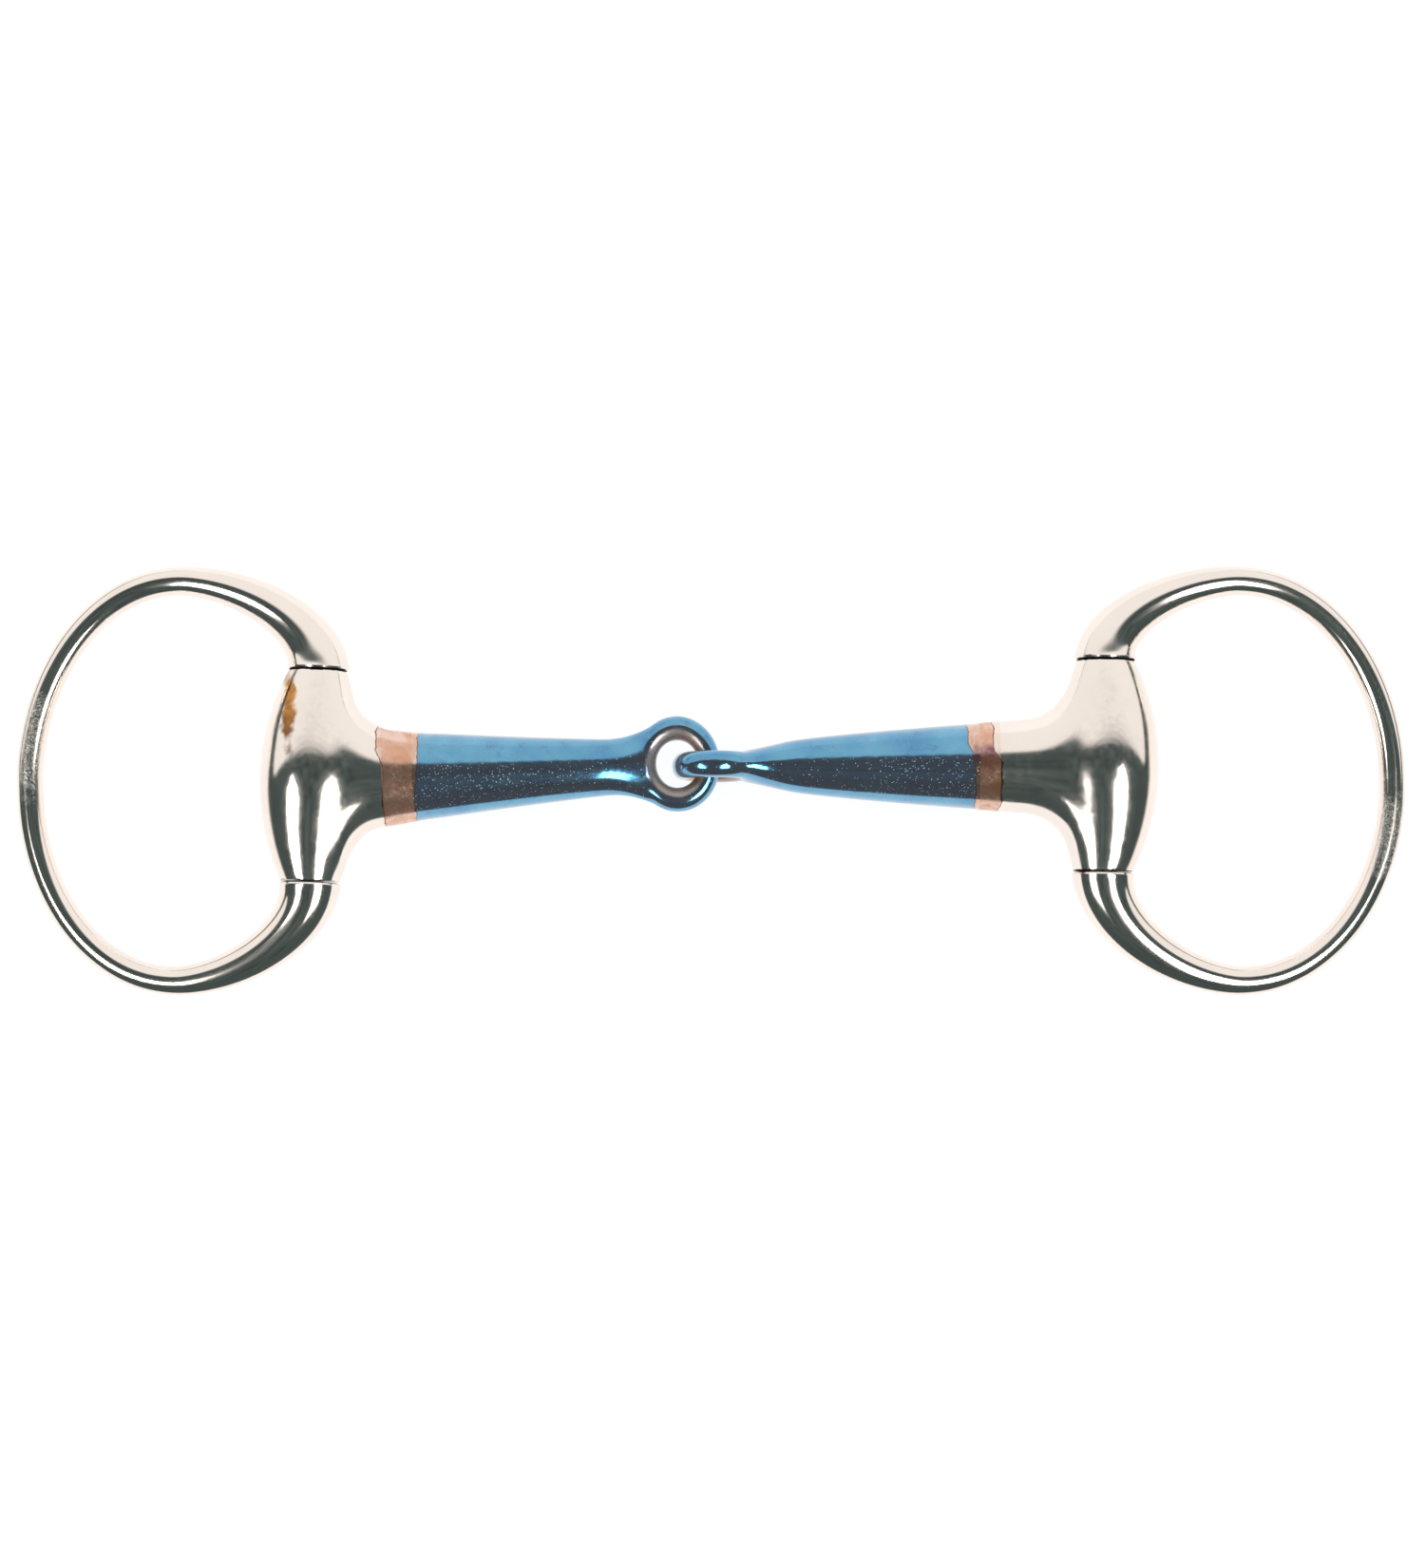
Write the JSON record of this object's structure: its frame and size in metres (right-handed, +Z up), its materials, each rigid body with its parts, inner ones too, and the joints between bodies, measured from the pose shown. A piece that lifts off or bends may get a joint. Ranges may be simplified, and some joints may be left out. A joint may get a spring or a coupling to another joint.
{
  "type": "snaffle bit",
  "caption": "Single-jointed eggbutt snaffle bit: oval cheek rings swing on barrel butts at the ends of a tapered mouthpiece that folds at a pair of linked eyes.",
  "frame": {"origin": "on the surface that the bit lies on, below the middle of its bounding box", "axes": "+X along the mouthpiece from the left cheek to the right, +Y along the hinges of the cheek rings, +Z up from the surface"},
  "size_m": [0.2598, 0.08, 0.0206],
  "materials": {
    "polished_steel": "stainless steel, mirror polished with fine scuffs",
    "pin_steel": "plain ground steel",
    "copper_braze": "copper braze, filed flush, heat tinted",
    "blued_iron": "sweet iron, heat blued, finely pitted"
  },
  "bodies": {
    "left_mouthpiece": {"left_barrel": "polished_steel", "left_braze": "copper_braze", "left_cannon": "blued_iron"},
    "left_cheek": {"left_ring": "polished_steel", "left_hinge_pin": "pin_steel"},
    "right_mouthpiece": {"right_barrel": "polished_steel", "right_braze": "copper_braze", "right_cannon": "blued_iron"},
    "right_cheek": {"right_ring": "polished_steel", "right_hinge_pin": "pin_steel"}
  },
  "joints": [
    {"name": "left_ring_swing", "type": "hinge", "parent": "left_mouthpiece", "child": "left_cheek", "pos_m": [-0.0737, 0.0005, 0.01033], "axis": [0.0349, 0.9994, 0], "range_deg": [-101, 117]},
    {"name": "mouthpiece_fold", "type": "hinge", "parent": "left_mouthpiece", "child": "right_mouthpiece", "pos_m": [-0.00035, 0.0026, 0.01033], "axis": [0, -1, 0], "range_deg": [-90, 90]},
    {"name": "right_ring_swing", "type": "hinge", "parent": "right_mouthpiece", "child": "right_cheek", "pos_m": [0.073, 0.00235, 0.01033], "axis": [-0.0175, -0.9998, 0], "range_deg": [-101, 117]}
  ]
}
